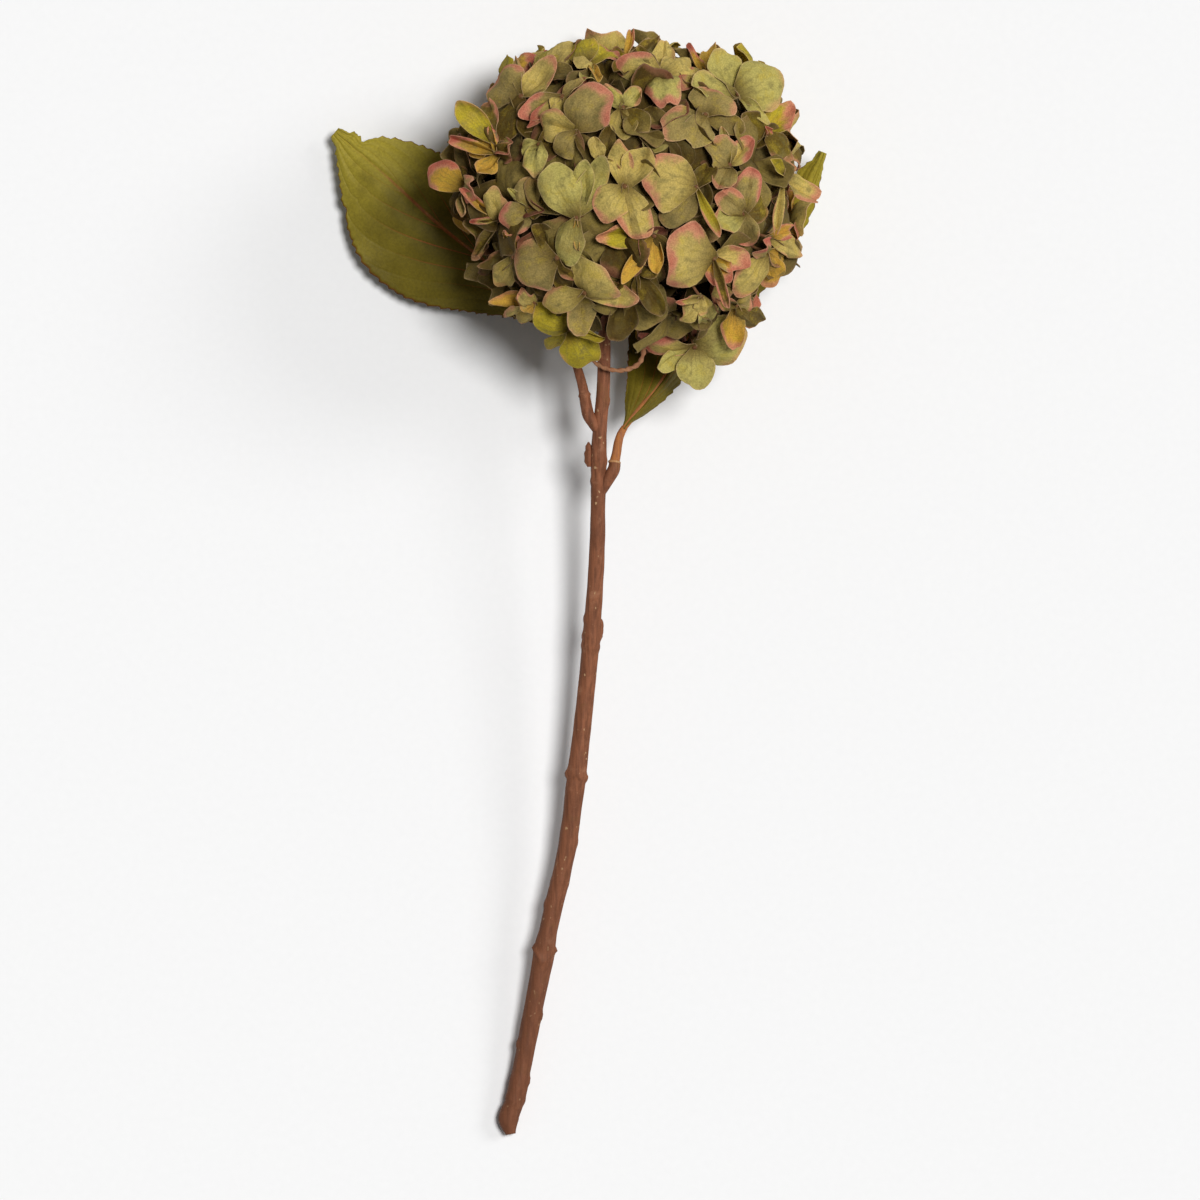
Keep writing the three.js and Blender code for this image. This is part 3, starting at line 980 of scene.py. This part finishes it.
# Petals of the upper side, floret by floret as they are numbered in the frame: the turn of each
# petal round its floret's own centre in degrees, its length and width in millimetres, the tone,
# how pink it is, its form and its lift.
upperFlorets = [
    [(145, 17, 20, "dusk", 0.6, "dome", 2), (95, 16, 8, "dusk", 0.3, "fold", 3),
     (45, 21, 15, "khaki", 0.6, "cup", 1), (245, 22, 14, "olive", 0.2, "flat", -3)],
    [(65, 24, 23, "dusk", 0.7, "dome", 5), (235, 13, 14, "dusk", 0.1, "crumple", -1),
     (160, 18, 15, "khaki", 0.5, "crumple", 2), (300, 17, 9, "olive", 0.1, "crumple", -4)],
    [(120, 21, 17, "sage", 0.1, "cup", 1), (170, 22, 15, "sage", 0.15, "cup", 0),
     (25, 22, 24, "sage", 0.3, "dome", 3), (315, 18, 9, "sage", 0.1, "fold", 1)],
    [(100, 20, 11, "khaki", 0.5, "cup", 2), (55, 20, 14, "khaki", 0.1, "cup", 0),
     (230, 18, 16, "khaki", 0.6, "dome", 2), (290, 25, 15, "khaki", 0.62, "dome", 3)],
    [(165, 23, 25, "khaki", 0.7, "dome", 6), (230, 22, 14, "dusk", 0.2, "flat", -3),
     (295, 25, 8, "lime", 0.6, "fold", 0), (55, 11, 9, "olive", 0.1, "cup", -4)],
    [(80, 21, 12, "dusk", 0.9, "dome", 3), (140, 15, 11, "dusk", 0.6, "flat", 0),
     (195, 15, 14, "sage", 0.6, "cup", 1), (275, 15, 13, "dusk", 0.7, "crumple", 0),
     (20, 11, 12, "olive", 0.2, "flat", -1)],
    [(325, 18, 11, "khaki", 0.6, "cup", 2), (65, 8, 9, "khaki", 0.55, "crumple", 2),
     (140, 10, 10, "lime", 0.2, "fold", 2), (260, 28, 7, "khaki", 0.5, "fold", 3)],
    [(120, 27, 17, "sage", 0.0, "dome", 5), (65, 29, 13, "sage", 0.15, "cup", 0),
     (80, 26, 10, "sage", 0.05, "cup", 0), (255, 22, 14, "sage", 0.0, "dome", 3),
     (275, 15, 5, "gold", 0.1, "fold", 1)],
    [(60, 12, 25, "khaki", 0.45, "dome", 4), (195, 20, 12, "khaki", 0.45, "dome", 2),
     (260, 16, 13, "dusk", 0.3, "cup", 2), (355, 24, 11, "khaki", 0.6, "cup", 3)],
    [(180, 20, 29, "khaki", 0.75, "dome", 6), (295, 11, 13, "gold", 0.9, "cup", 2),
     (0, 15, 12, "khaki", 0.8, "cup", 0), (285, 24, 7, "olive", 0.7, "fold", -1)],
    [(10, 24, 26, "sage", 0.3, "dome", 2), (275, 19, 17, "sage", 0.05, "flat", 0),
     (210, 19, 10, "sage", 0.2, "cup", 0), (175, 26, 14, "khaki", 0.9, "dome", 11)],
    [(150, 20, 14, "gold", 0.95, "dome", 2), (325, 3, 12, "dusk", 0.7, "dome", 8),
     (115, 14, 9, "olive", 0.3, "flat", -2), (275, 14, 9, "olive", 0.3, "fold", 0)],
    [(235, 13, 10, "gold", 0.3, "cup", 4), (160, 22, 10, "gold", 0.9, "fold", 2),
     (100, 13, 6, "gold", 0.8, "fold", 2), (5, 7, 9, "olive", 0.5, "flat", -3)],
    [(100, 13, 14, "dusk", 0.2, "crumple", -1), (215, 15, 14, "dusk", 0.8, "dome", 2),
     (335, 6, 9, "olive", 0.1, "crumple", -3), (140, 13, 5, "sage", 0.0, "fold", 1)],
    [(105, 13, 7, "gold", 0.9, "cup", 3), (240, 15, 11, "khaki", 0.3, "flat", -2),
     (195, 12, 9, "olive", 0.4, "cup", -4), (300, 13, 10, "olive", 0.2, "flat", -3)],
    [(195, 20, 24, "dusk", 0.55, "dome", 5), (325, 15, 11, "olive", 0.5, "flat", -4),
     (285, 15, 11, "olive", 0.1, "flat", -4), (120, 18, 10, "olive", 0.0, "cup", -3)],
    [(180, 25, 11, "lime", 0.6, "cup", 2), (300, 11, 10, "olive", 0.1, "flat", -3),
     (275, 17, 7, "gold", 0.2, "cup", 1), (235, 26, 7, "gold", 0.1, "cup", 0)],
    [(130, 13, 8, "sage", 0.5, "crumple", 4), (50, 12, 8, "sage", 0.5, "crumple", 4),
     (315, 17, 11, "olive", 0.05, "cup", -2), (270, 15, 13, "khaki", 0.0, "cup", -3)],
    [(110, 13, 14, "lime", 0.2, "dome", 2), (35, 15, 14, "lime", 0.8, "dome", 2),
     (180, 5, 13, "khaki", 0.1, "dome", 4), (270, 11, 8, "sage", 0.05, "cup", 3),
     (295, 13, 7, "gold", 0.1, "fold", 3)],
    [(160, 21, 15, "khaki", 0.7, "dome", 3), (130, 15, 9, "olive", 0.1, "fold", 0),
     (85, 13, 11, "khaki", 0.3, "cup", 1), (280, 13, 17, "sage", 0.7, "crumple", 4),
     (30, 16, 14, "khaki", 0.2, "dome", 2)],
    [(140, 18, 12, "olive", 0.05, "flat", -5), (115, 18, 12, "olive", 0.05, "flat", -6),
     (205, 15, 9, "sage", 0.05, "cup", -3), (300, 16, 11, "olive", 0.1, "flat", -5)],
    [(50, 15, 13, "lime", 0.8, "cup", 4), (85, 3, 6, "gold", 1.0, "fold", 2),
     (160, 15, 14, "olive", 0.1, "cup", -2), (310, 16, 12, "olive", 0.4, "flat", -1)],
    [(120, 13, 17, "dusk", 0.5, "crumple", 3), (245, 13, 12, "dusk", 0.5, "cup", 1),
     (50, 15, 10, "khaki", 0.9, "cup", 1), (100, 17, 8, "sage", 0.3, "fold", 0)],
    [(90, 2, 11, "dusk", 0.9, "dome", 6), (345, 11, 10, "gold", 0.4, "dome", 3),
     (240, 24, 15, "khaki", 0.6, "dome", 3), (285, 16, 12, "gold", 0.5, "flat", 0)],
    [(300, 15, 12, "olive", 0.4, "dome", -3), (300, 23, 9, "olive", 0.1, "flat", -5),
     (240, 14, 10, "olive", 0.2, "flat", -4), (30, 12, 11, "olive", 0.1, "flat", -3)],
    [(155, 18, 15, "lime", 0.1, "dome", 0), (295, 20, 17, "lime", 0.3, "dome", 1),
     (225, 12, 12, "lime", 0.1, "flat", -2), (345, 17, 7, "lime", 0.1, "fold", 2)],
    [(265, 17, 11, "gold", 0.6, "cup", 7), (5, 8, 11, "dusk", 0.6, "dome", 2),
     (325, 15, 10, "olive", 0.4, "flat", 0), (160, 11, 10, "olive", 0.5, "fold", -2)],
]
# florets between the framed ones: their neighbours, how far towards the rim they sit from the
# middle of those, how far out of the head they stand, then their petals as above
betweenFlorets = [
    ((1, 2, 19), 1.0, 1.0, [
        (35, 12, 8, "dusk", 0.2, "fold", 3), (205, 20, 12, "dusk", 0.7, "cup", 1),
        (265, 8, 10, "khaki", 0.1, "flat", -1), (225, 20, 9, "khaki", 0.9, "fold", -3)]),
    ((1, 12), 1.0, 0.97, [
        (135, 26, 11, "lime", 0.3, "cup", 2), (105, 22, 9, "olive", 0.6, "crumple", 0),
        (330, 9, 9, "khaki", 0.9, "cup", -2), (200, 12, 9, "gold", 0.3, "cup", 1)]),
    ((12, 15), 1.0, 0.93, [
        (140, 22, 7, "gold", 0.8, "fold", 2), (185, 12, 5, "khaki", 1.0, "fold", 0),
        (105, 14, 11, "khaki", 0.4, "dome", 3), (240, 18, 8, "olive", 0.3, "fold", -4)]),
    ((15, 26), 1.15, 0.95, [
        (215, 13, 13, "khaki", 0.5, "crumple", 2), (160, 8, 9, "khaki", 0.6, "crumple", 2),
        (210, 7, 7, "gold", 0.1, "cup", 4), (175, 16, 9, "gold", 0.4, "cup", 0)]),
    ((3, 21), 1.0, 1.0, [
        (65, 14, 21, "dusk", 0.5, "dome", 8), (200, 20, 15, "dusk", 0.5, "dome", 4),
        (245, 15, 14, "dusk", 0.1, "flat", 1), (340, 18, 10, "olive", 0.05, "cup", -1)]),
    ((1,), 1.2, 0.93, [
        (100, 15, 11, "lime", 0.0, "dome", 0), (60, 19, 13, "gold", 0.95, "dome", 1),
        (200, 11, 10, "olive", 0.5, "crumple", -2)]),
    ((1, 19), 1.1, 0.97, [
        (85, 15, 17, "lime", 0.05, "dome", 0), (55, 19, 12, "khaki", 0.1, "dome", 0),
        (95, 9, 6, "khaki", 1.0, "fold", 4), (355, 10, 9, "olive", 0.2, "flat", -2)]),
    ((3,), 1.2, 0.95, [
        (105, 19, 19, "lime", 0.05, "dome", 0), (140, 23, 9, "gold", 0.3, "cup", -1),
        (65, 11, 11, "lime", 0.1, "flat", -1)]),
    ((3, 20), 1.15, 0.95, [
        (125, 15, 6, "gold", 1.0, "fold", 1), (80, 11, 9, "gold", 0.4, "cup", 0),
        (200, 13, 10, "khaki", 0.9, "flat", -3)]),
    ((19, 20), 1.1, 0.96, [
        (75, 14, 6, "gold", 0.7, "fold", 2), (35, 17, 8, "olive", 0.2, "cup", 0),
        (245, 8, 9, "olive", 0.1, "cup", -3)]),
    ((2, 13), 1.0, 0.97, [
        (255, 13, 12, "sage", 0.3, "crumple", 3), (200, 9, 8, "sage", 0.2, "crumple", 0),
        (35, 12, 8, "olive", 0.1, "flat", -3)]),
    ((2, 4), 1.0, 0.98, [
        (110, 11, 7, "khaki", 0.1, "cup", 2), (75, 15, 8, "olive", 0.1, "cup", -3),
        (335, 9, 7, "khaki", 0.6, "fold", -3)]),
    ((6, 24), 1.15, 0.97, [
        (20, 13, 7, "gold", 0.9, "crumple", 1), (335, 16, 9, "khaki", 0.4, "flat", 0),
        (285, 12, 9, "olive", 0.3, "cup", -2)]),
    ((10, 11), 1.0, 0.95, [
        (195, 12, 6, "khaki", 0.8, "fold", 3), (280, 8, 9, "khaki", 0.3, "crumple", 2),
        (235, 14, 8, "khaki", 0.5, "crumple", 2), (290, 13, 11, "sage", 0.2, "crumple", 2)]),
]


def floretAxis(node):
    # foot of the pedicel, direction out of the head, and how far out the petals stand
    points = [point - heart for point in nodePoints(node)]
    nearest = min(point.length for point in points)
    foot = [point for point in points if point.length < nearest + 0.8 * mm]
    direction = sum(foot, Vector((0, 0, 0))).normalized()
    onAxis = [point.dot(direction) for point in points
              if (point - direction * point.dot(direction)).length < 0.6 * mm]
    return direction, nearest, max(onAxis) - 0.4 * mm


def turnedTip(centre, turn, length, lift):
    # the tip of a petal turned round its floret's centre, seen from above
    rel = (centre - heart) / mm
    angle = math.radians(turn)
    return planTip(centre, rel.x + math.cos(angle) * length, rel.y + math.sin(angle) * length, lift)


def growUpper(name, centre, foot, rows, replaced=None):
    petals = []
    for turn, length, width, tone, blush, form, lift in rows:
        tip = turnedTip(centre, turn, length, lift)
        facing = facingAt((centre + tip) / 2, sepalLook["facing"])
        # petals lying lower than the head's surface get painted shade, darkened towards brown
        depth = mix(0.62, 1.0, smooth(lift, -5.0, 0.0))
        petals.append(growSepal(centre, tip, width, tone, blush, form, depth, facing, random.uniform(0, 30)))
    return finishFloret(name, petals, centre, foot, replaced)


def insideHead(place):
    rel = place - heart
    most = outlineAt(rel.x, rel.y) * mm
    share = min(most / max(rel.xy.length, 1e-6), 1.0)
    return Vector((heart.x + rel.x * share, heart.y + rel.y * share, place.z))


def growRound(name, centre, foot, direction, size, tones, shade, replaced=None):
    # four petals set round the direction, none quite like the next
    side = direction.cross(skyward if abs(direction.z) < 0.9 else Vector((0, 1, 0))).normalized()
    turn = random.uniform(0, math.tau)
    petals = []
    for i in range(4):
        angle = turn + i * math.pi / 2 + random.uniform(-0.25, 0.25)
        spread = Matrix.Rotation(angle, 3, direction) @ side
        tilt = math.radians(random.uniform(-8, 30))
        out = spread * math.cos(tilt) + direction * math.sin(tilt)
        length = size * random.uniform(0.85, 1.12)
        width = size * random.uniform(0.7, 1.12)
        tip = insideHead(centre + out * length * mm)
        form = random.choice(("flat", "cup", "dome", "dome", "crumple", "fold", "curl"))
        tone = random.choice(tones)
        blush = random.choice((0.0, 0.1, 0.2, 0.5, 0.8))
        petals.append(growSepal(centre, tip, width, tone, blush, form, shade, direction,
                                random.uniform(0, 30)))
    return finishFloret(name, petals, centre, foot, replaced)


underLength = 20.5
mixedTones = ("dusk", "khaki", "dusk", "olive", "olive", "lime", "gold", "khaki", "dusk")
takenDirections = []
floretCentres = {}
for number in range(1, framedCount + 1):
    node = "floret_%02d" % number
    direction, footReach, reach = floretAxis(node)
    centre = heart + direction * reach
    foot = heart + direction * footReach
    takenDirections.append(direction)
    floretCentres[number] = centre
    if number <= upperCount:
        growUpper(node + "_petals", centre, foot, upperFlorets[number - 1], node)
    else:
        growRound(node + "_petals", centre, foot, direction, underLength, mixedTones, 1.0, node)
print("framed florets ready")

for i, (neighbours, rimward, lift, rows) in enumerate(betweenFlorets):
    middle = sum((floretCentres[n] - heart for n in neighbours), Vector((0, 0, 0))) / len(neighbours) / mm
    x = middle.x * rimward
    y = middle.y * rimward
    rel = Vector((x, y, headHeight(x, y))) * lift
    direction = rel.normalized()
    takenDirections.append(direction)
    growUpper("between_%02d" % (i + 1), heart + rel * mm, heart + direction * twigReach * mm, rows)
print("florets between them ready")

fillLook = {
    "sideCount": 110,
    "sideGap": 13.5,
    "sideReach": 0.95,
    "sideLength": 19.5,
    # the last number of each inner layer is painted shade: these florets deep in the head are darkened
    # towards brown
    "innerLayers": [(64, 0.86, 22, 0.42), (46, 0.7, 23, 0.15)],   # how many, how far out, length, shade
    "petalRoom": 17,
    "openAngle": 30,
}
stemWay = (smoothPolyline(stemRoute, 0.1) - heart).normalized()


def spiral(count, shift):
    golden = math.pi * (3 - math.sqrt(5))
    for i in range(count):
        z = 1 - 2 * (i + 0.5) / count
        ring = math.sqrt(1 - z * z)
        yield Vector((ring * math.cos(i * golden + shift), ring * math.sin(i * golden + shift), z))


def roomFor(direction, reach):
    # the head's own outline, taken in where the surface below is nearer
    rel = Vector((direction.x / headSize.x, direction.y / headSize.y, direction.z / headSize.z))
    full = reach / rel.length * mm
    floor = (heart.z - 4 * mm) / max(-direction.z, 1e-3)
    spread = math.hypot(direction.x, direction.y)
    edge = (outlineAt(direction.x, direction.y) - fillLook["petalRoom"]) / max(spread, 1e-3) * mm
    return min(full, floor, edge)


filled = 0
for direction in spiral(fillLook["sideCount"], 0.3):
    if direction.z > 0.3 or math.degrees(direction.angle(stemWay)) < fillLook["openAngle"]:
        continue
    if any(math.degrees(direction.angle(other)) < fillLook["sideGap"] for other in takenDirections):
        continue
    takenDirections.append(direction)
    filled += 1
    centre = heart + direction * roomFor(direction, fillLook["sideReach"])
    growRound("side_%02d" % filled, centre, heart + direction * twigReach * mm, direction,
              fillLook["sideLength"], mixedTones, 1.0)

# inner florets close the head from within, and their dark colour is painted shade
inner = 0
for count, reach, length, shade in fillLook["innerLayers"]:
    for direction in spiral(count, 1.1 + reach):
        if math.degrees(direction.angle(stemWay)) < fillLook["openAngle"]:
            continue
        inner += 1
        centre = heart + direction * roomFor(direction, reach)
        growRound("inner_%03d" % inner, centre, None, direction, length, ("olive", "khaki", "dusk"), shade)
print("side and inner florets ready:", filled, inner)
bpy.data.objects.remove(sepalBlank)


# buds and the bare curled stalk

budLook = {
    "upper_bud": {"radius": 2.0, "stemward": 0.3},
    "lower_bud": {"radius": 1.4, "stemward": 0.25},
}


def nodeEnds(name):
    # the middles of a node's two ends, lower end of the stem first
    points = sorted(nodePoints(name), key=lambda point: point.y)
    count = max(len(points) // 8, 1)
    nothing = Vector((0, 0, 0))
    return sum(points[:count], nothing) / count, sum(points[-count:], nothing) / count


def makeSideBud(node, look):
    # its foot is drawn in until the bud sits on the bark
    low, high = nodeEnds(node)
    root = stemCentreAt(low.y)
    shift = (root - low) * look["stemward"]
    foot = low + shift + Vector((0, -1, 0)) * mm
    tip = high + shift * 0.8
    route = [foot, foot.lerp(tip, 0.35) + Vector((-0.2, 0, 0.2)) * mm, foot.lerp(tip, 0.7), tip]
    radius = look["radius"] * mm
    radii = [radius * share for share in (0.5, 1.0, 0.98, 0.75, 0.2)]
    bud = tube(node + "_scales", route, radii, 18, 40,
               lambda share, angle, spread: 1 + 0.05 * math.sin(share * 22 + angle)
               + 0.06 * noise.noise(Vector((angle, share * 9, 1))))
    bud.data.materials.append(materials["bark"])
    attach(bud, "root")
    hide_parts(node)


for node, look in budLook.items():
    makeSideBud(node, look)

curlRoute = [(-4, -44, 7), (0.5, -53.5, 3), (5, -59.5, -1), (7, -67, -4), (5, -73.5, -6), (-1, -76.6, -6),
             (-8, -76.5, -4.6), (-14, -74, -5.2), (-18, -69.5, -7)]
curl = tube("withered_stalk_fibres", [fromHeart(*point) for point in curlRoute],
            [1.0 * mm, 0.95 * mm, 1.0 * mm, 0.95 * mm, 0.7 * mm], 14, 200,
            lambda share, angle, spread: 1 + 0.2 * math.cos(2 * angle + share * 95)
            + 0.25 * noise.noise(Vector((math.cos(angle), math.sin(angle), share * 30))))
curl.data.materials.append(materials["fibre"])
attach(curl, "root")
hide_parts("withered_stalk")

for node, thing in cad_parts.items():
    if node.startswith("branch_"):
        thing.data.materials.clear()
        thing.data.materials.append(materials["twig"])
print("buds, curled stalk and branches ready")


# floor, light and camera

stageLook = {"floorSize": 12.0, "sky": 0.13, "lens": 400, "cameraHeight": 6.05, "aimX": -12.6, "aimY": -180}
# strength, tilt from upright, turn and softness of each light
lightLook = {"key": (2.55, 16, 25, 16), "side": (0.6, 52, 20, 20)}

deselectAll()
bpy.ops.mesh.primitive_grid_add(x_subdivisions=2, y_subdivisions=2, size=stageLook["floorSize"])
floor = bpy.context.object
floor.name = "floor"
floorGraph = Graph("floorFinish")
grain = floorGraph.noise(300.0, 2.0)
floorGraph.finish(floorGraph.blend(grain, (0.9, 0.9, 0.9, 1), (0.93, 0.93, 0.93, 1)), 0.8,
                  floorGraph.bump(grain, 0.05, 0.0002), 0.1)
floor.data.materials.append(floorGraph.material)

for name, (strength, tilt, turn, softness) in lightLook.items():
    sunData = bpy.data.lights.new(name, "SUN")
    sunData.energy = strength
    sunData.angle = math.radians(softness)
    sun = bpy.data.objects.new(name, sunData)
    sun.rotation_euler = (0, math.radians(tilt), math.radians(turn))
    bpy.context.collection.objects.link(sun)

world = bpy.data.worlds.new("studio")
bpy.context.scene.world = world
world.use_nodes = True
world.node_tree.nodes["Background"].inputs[0].default_value = (1, 1, 1, 1)
world.node_tree.nodes["Background"].inputs[1].default_value = stageLook["sky"]

aim = fromHeart(stageLook["aimX"], stageLook["aimY"])
cameraData = bpy.data.cameras.new("camera")
cameraData.lens = stageLook["lens"]
cameraData.clip_end = 50
camera = bpy.data.objects.new("camera", cameraData)
camera.location = (aim.x, aim.y, stageLook["cameraHeight"])
bpy.context.collection.objects.link(camera)
bpy.context.scene.camera = camera
bpy.context.scene.view_settings.view_transform = "Standard"
